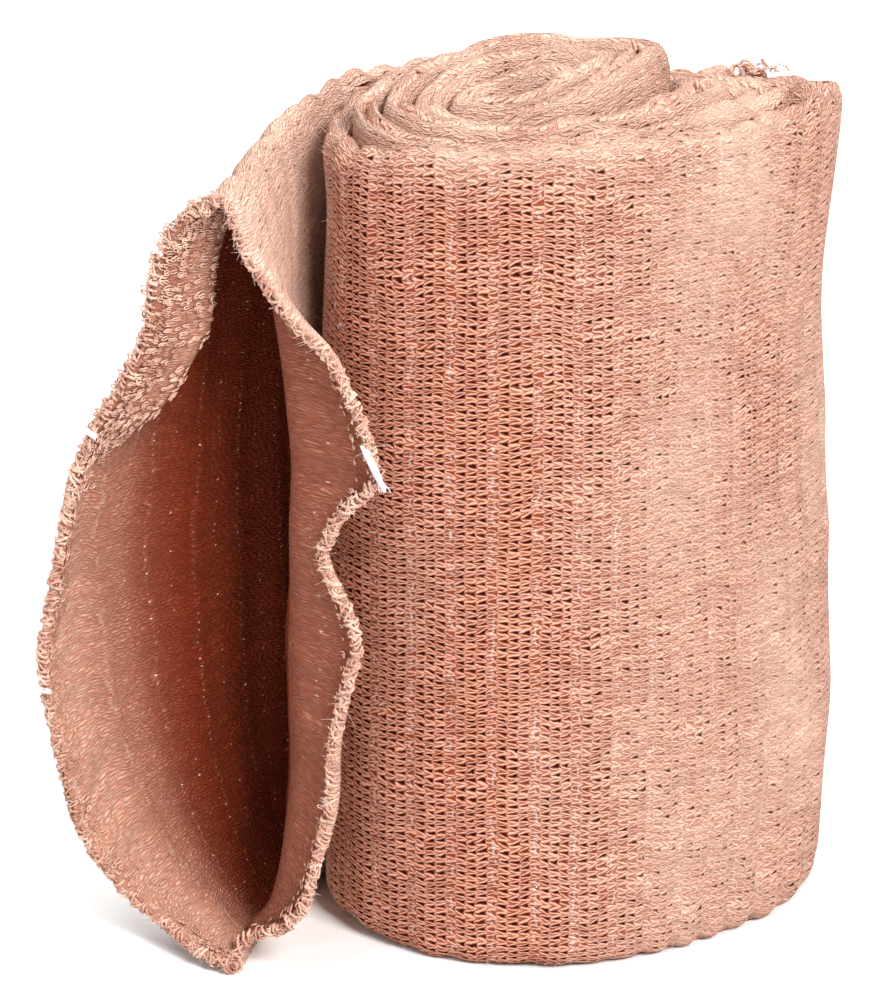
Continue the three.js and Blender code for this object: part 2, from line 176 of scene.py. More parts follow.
# %% Where the turns pass
TURNS = np.array([
    # right, back, left, front
    [[15, 1.8, 103.4], [12, 3, 103.4], [2.6, -2.4, 101.4], [7, -3.1, 101.6]],
    [[18.6, 3.2, 105.4], [13.5, 6.4, 105.2], [-2.2, -2.8, 101.4], [6, -6.2, 101]],
    [[22.6, 5.2, 105.5], [12, 9.8, 105.5], [-5.6, -3, 101.6], [6.5, -9.5, 100.4]],
    [[29.6, 4.4, 101.2], [12.5, 13.3, 103.4], [-9, -3, 101.2], [7, -13, 100.2]],
    [[36.6, 6.2, 100.4], [12.5, 16.6, 101.6], [-12, -3.2, 98.6], [8, -16.6, 100.3]],
    [[44, 8.4, 99.7], [12, 19.8, 99.4], [-16, -3.2, 99.6], [8, -20, 99.6]],
])
PINS = TURNS.reshape(-1, 3)
SLIT = np.array([[7.2, -0.5], [15.0, 1.8]])   # left and right end of the slit in the middle
LEAN = np.array([                             # height, and how far the right end leans over there
    [0, -0.6], [14, 0.0], [24, 0.2], [44, -0.2], [56, -1.4], [72, -1.6], [88, 0.0], [100, 0.8],
])
FLAT_WIDTH = 100.0      # the tube pressed flat
FOLD_HALF = 1.95        # half thickness of the flattened tube
RIB = 4.5               # distance between elastic lines along the relaxed tube
LEAVES_AT = 30 / 84     # how far along the sixth turn the loose end leaves the roll
GAP_AT = 55 / 84        # how far along the fifth turn a gap opens inside it


def winding(phase):
    """Point (x, y, top) at a phase counted in turns: quarter ellipses between the pins. From the front
    to the right and on to the back they are mixed with a straight line, by the share straight."""
    phase = np.asarray(phase, float)
    last = len(PINS) - 1
    quarter_turns = np.minimum((phase * 4).astype(int), last)
    angle = (phase * 4 - quarter_turns) * np.pi / 2
    a, b = PINS[quarter_turns], PINS[np.minimum(quarter_turns + 1, last)]
    sine, cosine = np.sin(angle), 1 - np.cos(angle)
    quarter = quarter_turns % 4
    upright = quarter % 2 == 0
    to_back = np.where(quarter_turns >= 12, 0.6, 0.35)
    straight = np.select([quarter == 0, quarter == 3], [to_back, 0.25], 0.0)
    middle = (sine + cosine) / 2
    tx = np.where(upright, cosine, sine) * (1 - straight) + middle * straight
    ty = np.where(upright, sine, cosine) * (1 - straight) + middle * straight
    tz = angle / (np.pi / 2)
    return a + (b - a) * np.stack([tx, ty, tz], -1)


def running_length(points):
    """Distance along a row of points, starting at 0."""
    return np.concatenate([[0], np.cumsum(np.linalg.norm(np.diff(points, axis=0), axis=1))])


fine_phase = np.linspace(4, 5, 961)
outer_length = running_length(winding(fine_phase)[:, :2])
outer_share = outer_length / outer_length[-1]
END_PHASE = 5 + np.interp(LEAVES_AT, outer_share, fine_phase - 4)
GAP_PHASE = 4 + np.interp(GAP_AT, outer_share, fine_phase - 4)
print("outermost turn", round(outer_length[-1], 1), "mm; the loose end leaves at turn", round(END_PHASE, 3))

# %% [markdown]
# ## The loose end
# From the back left the tube runs forward, off the roll, and opens like a leaf. A short table says
# where its middle is, how high its top fold stands, and how far each side bulges out. The cut rim
# has a table of its own: it has curled outwards and is pinched halfway down the right-hand lip.

# %% The loose end and its rim
LOOSE = np.array([
    # along, x, y, top, left, right
    [0, -4.6, 16.6, 99.2, 1.6, 1.6], [0.07, -7, 14.9, 100.2, 1.75, 1.75],
    [0.14, -9.4, 12.9, 100.8, 1.9, 1.9], [0.21, -11.5, 10.7, 100.4, 1.9, 1.9],
    [0.28, -13.3, 8.2, 100.8, 2, 1.9], [0.35, -14.9, 5.4, 99.7, 2.4, 2],
    [0.42, -16.4, 2.4, 99.8, 4, 2], [0.50, -17.7, -0.7, 99.3, 6.4, 2.1],
    [0.58, -18.9, -4, 99.4, 9.2, 2.4], [0.66, -20.1, -7.3, 98.5, 12.2, 3.2],
    [0.74, -21.2, -10.4, 98.2, 15.2, 4.6], [0.82, -22.3, -13.3, 97.3, 18.2, 6],
    [0.89, -23.2, -15.6, 96.8, 20.8, 7.6], [0.95, -23.9, -17.3, 96.2, 23, 10.5],
    [1, -24.5, -18.7, 95.9, 24.6, 17],
])
RIM = np.array([
    # height, left, right
    [0, 8.6, 1.8], [1.2, 11.4, 1.8], [3, 13.4, 2], [4.2, 14.6, 7.8], [9, 17.8, 10.4],
    [14, 20.4, 11], [22, 22.4, 12.8],
    [30, 24.2, 13.2], [36, 24.8, 14.8], [44, 23.2, 17], [48, 22.4, 15.6],
    [53.5, 21, 11.8], [59, 19.9, 14.8], [64, 17.8, 19.2], [71, 13.4, 17.6],
    [79, 9.6, 13.8], [83, 9.6, 7.8], [89.5, 8.6, 2.6], [94, 6.4, 1.6], [98, 2.2, 1.4],
])
LOOSE_HALF = 1.9        # half thickness of the loose end where it is still flat
CURL_FROM = 0.885       # how far along the loose end its rim starts to curl outwards
CURL_LONG = 0.115
NECK_IN = 4.6           # how far the neck behind the rim lies inside the rim
NECK_LEAST = 0.42       # and the least share of the rim's width that it keeps

RIM_FINE = np.linspace(0, 98, 197)
SOFT_RIM = {side: softened(np.interp(RIM_FINE, RIM[:, 0], RIM[:, column]), 2.2)
            for side, column in ((1, 1), (-1, 2))}


def half_opening(along, left, right, height, side):
    """How far the loose tube bulges to one side (1 left, -1 right): a leaf curve, sin(pi t^0.86)^0.75
    between floor and top. It narrows to a neck just behind the rim and ends in the rim's own table."""
    t = height / FLAT_WIDTH
    leaf = np.clip(np.sin(np.pi * np.clip(t, 0, 1) ** 0.86), 0, 1) ** 0.75
    if side > 0:
        width = left
        low_band = ease(36, 14, height)
        high_band = ease(56, 70, height) * ease(98, 94, height)
        band = np.maximum(low_band, high_band)
    else:
        width = right
        leaf = np.minimum(1, 1.15 * leaf)
        band = 0.7 * ease(20, 8, height)
    inside = (LOOSE_HALF + (width - LOOSE_HALF) * leaf) * np.minimum(1, left / LOOSE_HALF)
    cut = np.interp(height, RIM_FINE, SOFT_RIM[side])
    neck = np.minimum(inside, np.maximum(cut - NECK_IN, NECK_LEAST * cut))
    inside = inside + (neck - inside) * band * ease(0.66, CURL_FROM, along)
    curl = np.clip((along - CURL_FROM) / CURL_LONG, 0, 1) ** 0.9
    return inside + (cut - inside) * curl


# %% [markdown]
# ## Stations along the tube
# A station is one section across the tube. The wound turns need only a few between elastic lines,
# because just their folded edges show. Distances along the tube are counted from the place where
# the loose end leaves. On the front the elastic lines stand a little further apart than elsewhere.

# %% Stations
INNER_STEP, OUTER_STEP = 1.05, 0.74     # distance between stations
LOOSE_STATIONS = 64
LINE_SHIFT = 1.75                       # from an elastic line back to the start of the stitches
LINES_AT = [-480, -118.4, -91.0, -75.1, 60]
LINES_COUNTED = [-82.2, 0, 6, 10, 40.7]

phase_fine = np.linspace(0.02, END_PHASE, 9000)
length_wound = running_length(winding(phase_fine)[:, :2])
WOUND = length_wound[-1]
loose_length = running_length(LOOSE[:, 1:3])
LOOSE_LONG = loose_length[-1]
outer_start = np.interp(END_PHASE - 1, phase_fine, length_wound)
stations = np.concatenate([
    np.arange(0, outer_start, INNER_STEP),
    np.arange(outer_start, WOUND, OUTER_STEP),
    np.linspace(WOUND, WOUND + LOOSE_LONG, LOOSE_STATIONS),
])
is_wound = stations < WOUND - 1e-6
phase = np.interp(stations, length_wound, phase_fine)
path_u = stations - WOUND
cloth_u = np.interp(path_u, LINES_AT, LINES_COUNTED) * RIB - LINE_SHIFT

centre = winding(phase)
centre[~is_wound] = read(LOOSE[:, 1:4], loose_length, path_u)[~is_wound]
plan_x, plan_y = centre[:, 0], centre[:, 1]
along = np.where(is_wound, 0, np.interp(path_u, loose_length, LOOSE[:, 0]))
left_half, right_half = read(LOOSE[:, 4:], LOOSE[:, 0], along).T
run = unit(np.gradient(centre[:, :2], axis=0))
run = unit(np.stack([softened(run[:, 0], 2), softened(run[:, 1], 2)], -1))
outward = np.stack([run[:, 1], -run[:, 0]], -1)

# %% [markdown]
# ## Sections of the tube
# In the roll each turn fills the room that its neighbours leave it, so its half thickness is just
# under half the distance to the next turn. It is thinner at a few places, where gaps show between
# the turns. The loose end lets go of its inner neighbour over about a centimetre.

# %% Half thickness towards both neighbours
GAP_WIDE, GAP_DEEP = 0.055, 0.34      # in turns, and as a share of the half thickness


def fitted_half(gap):
    """Half thickness for a distance to the next turn: just under half of it, but less where it is wide."""
    return np.minimum(FOLD_HALF + 0.8 * np.maximum(0, gap - 2 * FOLD_HALF), gap * 0.485)


slit_share = (0.5 - 0.5 * np.cos(2 * np.pi * phase))[:, None]
slit_point = SLIT[1] + (SLIT[0] - SLIT[1]) * slit_share
inside_point = winding(np.maximum(phase - 1, 0))[:, :2]
to_inner = np.where((phase < 1)[:, None], slit_point, inside_point) - centre[:, :2]
to_outer = winding(np.minimum(phase + 1, END_PHASE))[:, :2] - centre[:, :2]
inner_gap, outer_gap = np.linalg.norm(to_inner, axis=1), np.linalg.norm(to_outer, axis=1)

free = ease(END_PHASE - 1.0, END_PHASE - 0.96, phase)[:, None]
way_out = unit(unit(to_outer) * (1 - free) + outward * free)
out_half = fitted_half(outer_gap) * (1 - free[:, 0]) + FOLD_HALF * free[:, 0]
loosened = ease(-6, 4, path_u)[:, None]
way_in = unit(unit(to_inner) * (1 - loosened) - outward * loosened)
in_half = np.where(phase < 1, np.minimum(0.97 * inner_gap, 2.6), fitted_half(inner_gap))

gap_outside = GAP_DEEP * bell(phase - GAP_PHASE + 1, GAP_WIDE)
gap_inside = GAP_DEEP * bell(phase - GAP_PHASE, GAP_WIDE)
small_gaps = bell(phase - 4.80, 0.018) + bell(phase - 4.83, 0.010)
out_half = out_half * (1 - gap_outside - 0.2 * bell(phase - 3.80, 0.03))
in_half = in_half * (1 - gap_inside - 0.3 * small_gaps)

# %% [markdown]
# ## Top edge and foot
# Between two elastic lines the fold stands up a little, which scallops the edge. Its two layers show
# as twin ropes: a groove follows later, so the crest is raised by a part of it here. At the back
# right the inner turns have sunk. On the table the front wall and the rim spread forward.

# %% Heights and feet
FRONT_FOOT = 4.6        # how far the foot of the front wall lies forward
RIM_FOOT = 3.8          # how far the lowest millimetres of the rim lie forward
BUMPS = ((31.4, 16.0, 3.0, 0.9), (-8.0, 13.6, 2.2, -0.9), (36.0, 13.6, 2.2, 0.7))  # x, y, width, height


def noise_along(long, seed):
    """Soft noise that changes only along the tube."""
    return soft_noise(stations, 0 * stations, long, 1, seed)


scallop = np.abs(np.sin(np.pi * cloth_u / RIB)) ** 0.8
is_outer = ease(END_PHASE - 1.15, END_PHASE - 1.0, phase)
dip_size = np.clip(0.7 + 0.5 * noise_along(19, 21), 0.1, 1.5)
edge_dip = (0.20 + 0.55 * is_outer) * (scallop - 0.75) * dip_size
uneven_top = 0.28 * noise_along(16, 3) * (1 - 0.5 * (along > 0))
top = centre[:, 2] + edge_dip + uneven_top
back_right = ease(21, 24, plan_x) * ease(41, 36, plan_x) * ease(3, 7, plan_y)
sunk = np.interp(plan_x, [22, 26, 31], [2.1, 1.7, 1.1])
top = top - sunk * back_right * ease(2.95, 3.05, phase)
for bump_x, bump_y, wide, tall in BUMPS:
    top = top + tall * bell(np.hypot(plan_x - bump_x, plan_y - bump_y), wide) * (phase > 4.9)
twin_groove = (2.9 - 1.9 * is_outer) * (along == 0) * (0.8 + 0.5 * noise_along(24, 77))
top = top + 0.30 * twin_groove

base = np.where(phase < END_PHASE - 1.7, np.clip((centre[:, 2] - 99.4) * 0.8, 0, 4), 0)
base = base + 0.25 * (1 - scallop)
left_corner = bell(plan_x + 13.5, 4) * (phase > END_PHASE - 1) * (plan_y < 2)
base = base + 1.5 * left_corner * is_wound
foot = np.interp(plan_x, [-16, -6, 0, 8, 14, 38, 44], [0, 0.2, 0.45, 0.65, 1, 1, 0.5])
foot = FRONT_FOOT * foot * ease(10, 2, plan_y) * is_outer * is_wound

# %% [markdown]
# ## Rings of points
# Each station becomes a ring: up its outer side from the floor, over the top fold and down its inner
# side. The folds at top and bottom are rounded, thin ones to half ellipses. Points are placed by
# their share of the way round, so each row of stitches keeps its place along the whole tube.

# %% Both sides of the tube
INNER_FOLD, OUTER_FOLD = 4.0, 2.9       # height of a rounded fold
near_fold = np.array([0, 0.25, 0.6, 1.0, 1.5, 2.1, 2.8, 3.7])
share = np.concatenate([near_fold, np.linspace(5.2, 94.8, 42), 100 - near_fold[::-1]]) / 100
fine_t = 0.5 - 0.5 * np.cos(np.pi * np.linspace(0, 1, 420))


def fold_shape(height_mm, whole, fold, roundness):
    """Rounds off both edges of the flattened tube: (1 - (1 - d/fold)^2)^roundness of the distance d to
    the edge. A roundness of 0.5 is a half ellipse, and a smaller one a flatter fold."""
    d = np.minimum(height_mm, whole - height_mm)
    return np.clip(1 - (1 - np.clip(d / fold, 0, 1)) ** 2, 0, 1) ** roundness


def side_of_tube(side):
    """Points of one side of the tube (1 outer, -1 inner), floor to top, at equal shares of its length."""
    t = fine_t[None, :]
    tall = (top - base)[:, None]
    height = base[:, None] + tall * t
    wound_half = (out_half if side > 0 else in_half)[:, None]
    fold = np.where(is_outer[:, None] > 0.5, OUTER_FOLD, INNER_FOLD)
    roundness = np.interp(wound_half, [1.9, 3.2], [0.5, 0.34])
    thick = wound_half * fold_shape(tall * t, tall, fold, roundness)
    if side > 0:
        thick = thick + free * 0.35 * np.sin(np.pi * t) ** 0.5
    opened = half_opening(along[:, None], left_half[:, None], right_half[:, None], height, side)
    opened = opened * np.sqrt(np.clip(1 - (2 * t - 1) ** 12, 0, 1))
    mix = ease(-1, 6, path_u)[:, None]
    reach = thick * (1 - mix) + opened * mix
    way = way_out if side > 0 else way_in
    way = unit(way * (1 - mix) + side * outward * mix)
    xy = centre[:, None, :2] + way[:, None, :] * reach[..., None]
    xy[..., 1] -= foot[:, None] * ease(30, 0, height)
    low = ease(3.8 if side > 0 else 2.6, 0.3, height)
    xy[..., 1] -= RIM_FOOT * ease(0.7, 1, along)[:, None] * low
    xy[..., 0] += np.interp(height, LEAN[:, 0], LEAN[:, 1]) * ease(18, 42, xy[..., 0])
    points = np.concatenate([xy, height[..., None]], -1)
    lengths = [running_length(line) for line in points]
    return np.array([read(line, long / long[-1], share) for line, long in zip(points, lengths)])


out_side, in_side = side_of_tube(1), side_of_tube(-1)
skin = np.concatenate([out_side, in_side[:, -2:0:-1]], 1)
ring_share = np.concatenate([share, 2 - share[-2:0:-1]]) * 0.5
share_closed = np.concatenate([ring_share, [1.0]])
COLUMNS = skin.shape[1]

# %% [markdown]
# ## Puckers, thickness and the inside
# The elastic lines draw the knit in, and the bands between them puff out. This is pushed into the
# surface along its own normal, with a slower unevenness on top. At the mouth the cloth has a
# thickness: the same rows come back inside, up to 1.2 mm in, and a rounded lip joins the two.

# %% Puckered skin
CLOTH = 1.2             # thickness of the cloth at the mouth
POCKET_FROM = 0.30      # how far along the loose end the inside of the tube begins
LOWEST = 0.02           # no point of the tube lies nearer to the floor
OUTER_WALL = slice(15, 40)      # columns in the middle of the outer side


def outer_normals(points):
    """Unit normals of a grid closed round its columns: cross product of the two grid directions,
    turned round if they point against the way out on the outer wall."""
    lengthwise = np.gradient(points, axis=0)
    around = np.roll(points, -1, axis=1) - np.roll(points, 1, axis=1)
    normals = unit(np.cross(around, lengthwise))
    agreement = np.mean(np.einsum("ijk,ik->ij", normals[:, OUTER_WALL, :2], way_out))
    return -normals if agreement < 0 else normals


u_grid, v_grid = np.meshgrid(cloth_u, ring_share * 2 * FLAT_WIDTH, indexing="ij")
from_line = (u_grid + 0.35 * soft_noise(v_grid, u_grid, 60, 90, 5) + RIB / 2) % RIB - RIB / 2
normal = outer_normals(skin)
loose_skin = (is_outer[:, None] + (along[:, None] > 0)).clip(0, 1)
pucker_size = np.clip(0.85 + 0.5 * soft_noise(u_grid, v_grid, 40, 70, 31), 0.2, 1.6)
pucker = -0.17 * bell(from_line, 0.6) - 0.045 * np.cos(2 * np.pi * from_line / RIB)
pucker = pucker * pucker_size * (1 + 1.4 * ease(16, 38, skin[..., 0]) * is_outer[:, None])
rumple = 0.30 * soft_noise(u_grid, v_grid, 26, 38, 11) + 0.10 * soft_noise(u_grid, v_grid, 9, 14, 12)
skin = skin + normal * (pucker * (0.35 + 0.65 * loose_skin) + rumple * (0.15 + 0.6 * loose_skin))[..., None]
skin[..., 2] -= twin_groove[:, None] * bell(np.abs(v_grid - FLAT_WIDTH), 0.80)
skin[..., 2] = np.maximum(skin[..., 2], LOWEST)
normal = outer_normals(skin)

# %% Lining, lip and one closed mesh
pocket = np.where(along > POCKET_FROM)[0]
depth_in = np.clip((along[pocket] - POCKET_FROM) / 0.1, 0.35, 1)[:, None, None]
lining = skin[pocket] - normal[pocket] * CLOTH * (0.75 + 0.25 * depth_in)
lining[..., 2] = np.clip(lining[..., 2], 0.6, None)
end_run = np.array([*run[-1], 0.0])
middle_of_lip = skin[-1] - normal[-1] * CLOTH / 2
lips = np.array([middle_of_lip + normal[-1] * np.cos(a) * CLOTH / 2 + end_run * np.sin(a) * CLOTH * 0.45
                 for a in np.radians([35, 90, 145])])
tube = np.concatenate([skin, lips, lining[::-1]], 0)
tube[..., 2] = np.maximum(tube[..., 2], LOWEST)
tube_u = np.concatenate([cloth_u, cloth_u[-1] + [0.4, 0.6, 0.4], cloth_u[pocket][::-1]])
tube_side = np.concatenate([np.zeros(len(stations)), [0.25, 0.5, 0.75], np.ones(len(pocket))])[:, None]
ROWS = len(tube)


def end_cap(row):
    """Closes a flattened ring: column c is joined to its mirror column across the fold."""
    c = np.arange(COLUMNS // 2)
    return np.stack([c, c + 1, (COLUMNS - c - 1) % COLUMNS, (COLUMNS - c) % COLUMNS], -1) + row * COLUMNS


caps = np.concatenate([end_cap(0)[:, ::-1], end_cap(ROWS - 1)])
caps = caps[[len(set(quad)) == 4 for quad in caps]]
tube_faces = np.concatenate([ring_faces(ROWS, COLUMNS), caps])
knit_tube = mesh_object("knit_tube", put_in_frame(tube).reshape(-1, 3), tube_faces)

# %% [markdown]
# ## Where the knit lies on the cloth
# The stitches follow the cloth round every fold, so each corner gets a UV that is a distance on the
# cloth itself: u runs along the tube, 4.5 mm for each elastic line, and v once round it. Three more
# values are stored at the points: which side of the cloth it is, how far the stitches stand open,
# which also carries painted shade and painted light, and how much painted shade darkens the inside
# of the mouth.

# %% UV and point values
loops = np.empty(len(knit_tube.data.loops), np.int32)
knit_tube.data.loops.foreach_get("vertex_index", loops)
row, column = loops // COLUMNS, (loops % COLUMNS).reshape(-1, 4)
# In the quads that close the ring, corners of the first column count as one past the last
closes = (column.max(1) == COLUMNS - 1) & (column.min(1) == 0)
column = np.where(closes[:, None] & (column == 0), COLUMNS, column).ravel()
uv = np.stack([tube_u[row], (share_closed * 2 * FLAT_WIDTH)[column]], -1) * MM
uv_layer = knit_tube.data.uv_layers.new(name="cloth")
uv_layer.data.foreach_set("uv", uv.astype(np.float32).ravel())


def write_value(name, values):
    """Stores one number at each point of the tube under a name that its material can read."""
    layer = knit_tube.data.attributes.new(name, "FLOAT", "POINT")
    layer.data.foreach_set("value", values.astype(np.float32).ravel())


write_value("reverse", np.repeat(tube_side, COLUMNS))
x_grid, y_grid, z_grid = tube[..., 0], tube[..., 1], tube[..., 2]
more_rows = ROWS - len(stations)
row_is_outer = np.concatenate([is_outer * (along == 0), np.zeros(more_rows)])[:, None]
# How far the stitches stand open: wide on the left of the front, shut on the top folds and the loose end.
# The same value paints the yarn redder on the left of the front, as painted shade, and paler on the top
# folds and the loose end, as painted light
open_wide_and_painted_shade = ease(30, 4, x_grid) * ease(-4, -12, y_grid) * row_is_outer
open_wide_and_painted_shade = open_wide_and_painted_shade * ease(101, 92, z_grid) + 0.10 * soft_noise(x_grid, z_grid, 14, 26, 41)
stitch_open_and_painted_light = np.clip(0.18 + 0.82 * open_wide_and_painted_shade, 0, 1) - 0.24 * ease(98.5, 100.5, z_grid)
loose_rows = np.concatenate([along > 0, np.ones(more_rows)])[:, None]
stitch_open_and_painted_light = stitch_open_and_painted_light * (1 - loose_rows) - 0.04 * loose_rows
write_value("open_stitch_and_painted_light", stitch_open_and_painted_light)

# Painted shade: the inside of the mouth is made dark and red, most at the back of the pocket, next
# on its right-hand side, and a little on the band that has curled over at the upper left
row_along = np.concatenate([along, np.ones(3), along[pocket][::-1]])[:, None]
to_right = np.where(np.arange(COLUMNS) < COLUMNS // 2, 0.0, 1.0)[None, :]
painted_deep_shade = tube_side * ease(1.01, 0.66, row_along - 0.10 * to_right * (row_along < 0.8))
painted_deep_shade = np.maximum(painted_deep_shade, 0.76 * tube_side * to_right * ease(99, 84, z_grid))
curled = ease(54, 64, z_grid) * ease(100, 96, z_grid) * ease(0.86, 0.91, row_along)
painted_deep_shade = np.maximum(painted_deep_shade, 0.42 * tube_side * (1 - to_right) * curled)
write_value("painted_deep_shade", painted_deep_shade)

# %% [markdown]
# ## The knit
# The cotton is knitted sideways to the roll: every stitch is a V lying on its side, its tip to the
# left. Its two legs are half-round strands of yarn, and between them a small dark hole opens. Every
# fourth column is drawn shut by an elastic thread and looks pale. On the inside the loops show their
# backs as short wavy bumps, and deep in the mouth light comes through a few stitches as bright dots.
# All of this is arithmetic on the cloth's UV. A Number is a value in the node tree, and + - * / on it
# make a Math node each, so it can be written as formulas.

# %% Formulas that become nodes
def arithmetic(operation, turned=False):
    """A method that makes one Math node of a Number and another value, in either order."""
    return lambda a, b: a.formula(operation, b, a) if turned else a.formula(operation, a, b)


class Number:
    """A value in a node tree. Arithmetic with it gives the next Number."""

    def __init__(self, formula, socket):
        self.formula, self.socket = formula, socket

    __add__, __radd__ = arithmetic("ADD"), arithmetic("ADD", turned=True)
    __sub__, __rsub__ = arithmetic("SUBTRACT"), arithmetic("SUBTRACT", turned=True)
    __mul__, __truediv__ = arithmetic("MULTIPLY"), arithmetic("DIVIDE")

    def __abs__(self):
        return self.formula("ABSOLUTE", self)

    def held(self):
        """This result, held between 0 and 1."""
        self.socket.node.use_clamp = True
        return self


class Formula:
    """Writes a new material's nodes: m("SQRT", a) makes a Math node and returns its result."""

    def __init__(self, name):
        self.material = bpy.data.materials.new(name)
        self.material.use_nodes = True
        self.tree = self.material.node_tree
        self.shader = self.tree.nodes["Principled BSDF"].inputs

    def feed(self, sockets, values):
        """Links Numbers to sockets, or sets plain numbers and colours on them, by name or place."""
        for key, value in values.items():
            if isinstance(value, Number):
                self.tree.links.new(value.socket, sockets[key])
            else:
                sockets[key].default_value = value

    def node(self, kind, inputs, output=0, **settings):
        """Adds a node with these settings, feeds its inputs and returns one of its outputs."""
        node = self.tree.nodes.new("ShaderNode" + kind)
        for name, value in settings.items():
            setattr(node, name, value)
        self.feed(node.inputs, inputs)
        return Number(self, node.outputs[output])

    def __call__(self, operation, *values):
        """One Math node on up to three values."""
        return self.node("Math", dict(enumerate(values)), operation=operation)

    def ramp(self, value, low, high, out_low=0.0, out_high=1.0):
        """Straight line from (low, out_low) to (high, out_high), held beyond both ends."""
        ends = {"From Min": low, "From Max": high, "To Min": out_low, "To Max": out_high}
        return self.node("MapRange", {"Value": value, **ends}, "Result")

    def mix(self, share, first, second, how="MIX"):
        """Mixes two colours; how is the way of mixing."""
        inputs = {"Factor": share, 6: first, 7: second}
        return self.node("Mix", inputs, 2, data_type="RGBA", blend_type=how)

    def noise(self, place, scale, detail):
        """Noise of about 1/scale of the unit of place, from 0 to 1."""
        return self.node("TexNoise", {"Vector": place, "Scale": scale, "Detail": detail}, "Fac")

    def vector(self, x, y, z=0.0):
        """Three numbers as one vector."""
        return self.node("CombineXYZ", {0: x, 1: y, 2: z})

    def stored(self, name):
        """A value that was stored at the points of the mesh."""
        return self.node("Attribute", {}, "Fac", attribute_name=name)

    def place(self):
        """Object coordinates."""
        return self.node("TexCoord", {}, "Object")

    def chance(self, x, y):
        """White noise: one number from 0 to 1 for each whole-numbered place."""
        return self.node("TexWhiteNoise", {"Vector": self.vector(x, y)}, "Value", noise_dimensions="2D")

    def dome(self, square):
        """Height of a half-round strand, sqrt(1 - square), 0 outside it."""
        return self("SQRT", (1.0 - square).held())

    def every(self, count, number):
        """1 where a whole number is a multiple of count, else 0."""
        return self("LESS_THAN", self("FLOORED_MODULO", number, count), 0.5)

    def finish(self, colour, height, full_height, rough, shine, sheen=0.0):
        """Feeds the shader: a colour, a bump whose full height is this many metres, and its gloss."""
        bump = self.node("Bump", {"Height": height, "Distance": full_height, "Strength": 1.0})
        self.feed(self.shader, {"Base Color": colour, "Normal": bump, "Roughness": rough,
                                "Specular IOR Level": shine, "Sheen Weight": sheen})


# %% [markdown]
# ## Stitch by stitch
# The stitch is 1.13 mm long and 0.93 mm high. Inside one stitch f runs from its tip to its open end
# and d is the distance from its middle line. A leg lies where d equals 0.165 + 0.26 f, and the hole is
# what is left inside the legs, up to the head of the next loop.

# %% Knit material: place within the stitch
COURSE = RIB / 4        # length of a stitch along the tube
WALE = 200.0 / 216      # height of a row of stitches round the tube

m = Formula("cotton_knit")
cloth = m.node("UVMap", {}, uv_map="cloth")
u, v = (m.node("SeparateXYZ", {0: cloth}, axis) * 1000 for axis in "XY")
plane = m.vector(u, v)
slow_u, slow_v = m.noise(plane, 0.11, 1), m.noise(m.vector(v, u, 3.1), 0.16, 1)
quick_u, quick_v = m.noise(plane, 0.75, 1.5), m.noise(m.vector(v, u, 7.7), 0.75, 1.5)
u = u + ((slow_u - 0.5) * 0.9 + (quick_u - 0.5) * 0.8)
v = v + ((slow_v - 0.5) * 2.2 + (quick_v - 0.5) * 0.55)
column, row = u / COURSE + 0.5, v / WALE
column_number, row_number = m("FLOOR", column), m("FLOOR", row)
f = m("FRACT", column)
across = m("FRACT", row) - 0.5
d = abs(across)
luck = m.chance(column_number, row_number)
on_line = m.every(4, column_number)

# %% The outside
# Two legs, the ends of the stitch before, the head of the next loop and the hole
leg_place = 0.165 + f * 0.26
leg_luck = m.chance(column_number, row_number * 2 + m("GREATER_THAN", across, 0))
leg = abs(d - leg_place) / m.ramp(leg_luck, 0, 1, 0.135, 0.185)
under = abs(d - (leg_place + 0.33)) / 0.17
under_height = m.dome(under * under) * (0.72 - f).held()
head_f, head_d = (f - 1.03) / 0.19, across / 0.24
head_height = m.dome(head_f * head_f + head_d * head_d) * 0.85
yarn_height = m("MAXIMUM", m("MAXIMUM", m.dome(leg * leg), under_height), head_height)
# How far the stitches stand open, a value that also carries painted shade and painted light
standing_and_painted_light = m.stored("open_stitch_and_painted_light")
openness = standing_and_painted_light + m.ramp(luck, 0.35, 1, -0.30, 0.62)
openness = (openness * (1 - on_line * 0.85)).held()
half_hole = ((f - 0.04) * 1.5).held() * 0.26 * ((0.93 - f) * 5).held() * openness
hole = ((half_hole - d) * 8).held()
front = (yarn_height * 0.75 - hole * 0.75) * m.ramp(standing_and_painted_light, -0.12, 0.16, 0.60, 1)

# %% The inside
# Short backs of the loops, staggered, each at its own height and slant
back_row = row * 2.6 + (quick_u - 0.5) * 1.6
back_number = m("FLOOR", back_row)
back_column = column * 1.6 + (back_number * 0.5 + m.chance(back_number, 17))
back_luck = m.chance(m("FLOOR", back_column), back_number)
back_f = m("FRACT", back_column) - 0.5
slant = back_f * ((back_luck - 0.45) * 0.9)
back_d = (m("FRACT", back_row) - 0.5 + slant) / (0.26 + back_luck * 0.20)
back_f = back_f / 0.46
back = (1 - back_f * back_f - back_d * back_d).held()
streak = m.noise(m.vector(u * 0.85, v * 2.1), 1, 1)
back = back + m.ramp(streak, 0.36, 0.66) * 0.30

inside = m("GREATER_THAN", m.stored("reverse"), 0.4)
fibre = m.noise(m.vector(u, v * 2.4), 4.2, 4)
height = front * (1 - inside) + back * 0.5 * inside + (fibre - 0.5) * 0.6

# %% Colour of the outside
# Yarn with painted shade low between its strands, the elastic line in it with a few white specks, and the
# holes
relief = (yarn_height - 0.85) * (0.24 + standing_and_painted_light * 1.02) + 0.80
lit = relief + (fibre - 0.5) * 1.7
lit = (lit + (leg_luck - 0.5) * (0.16 + standing_and_painted_light * 0.20)).held()
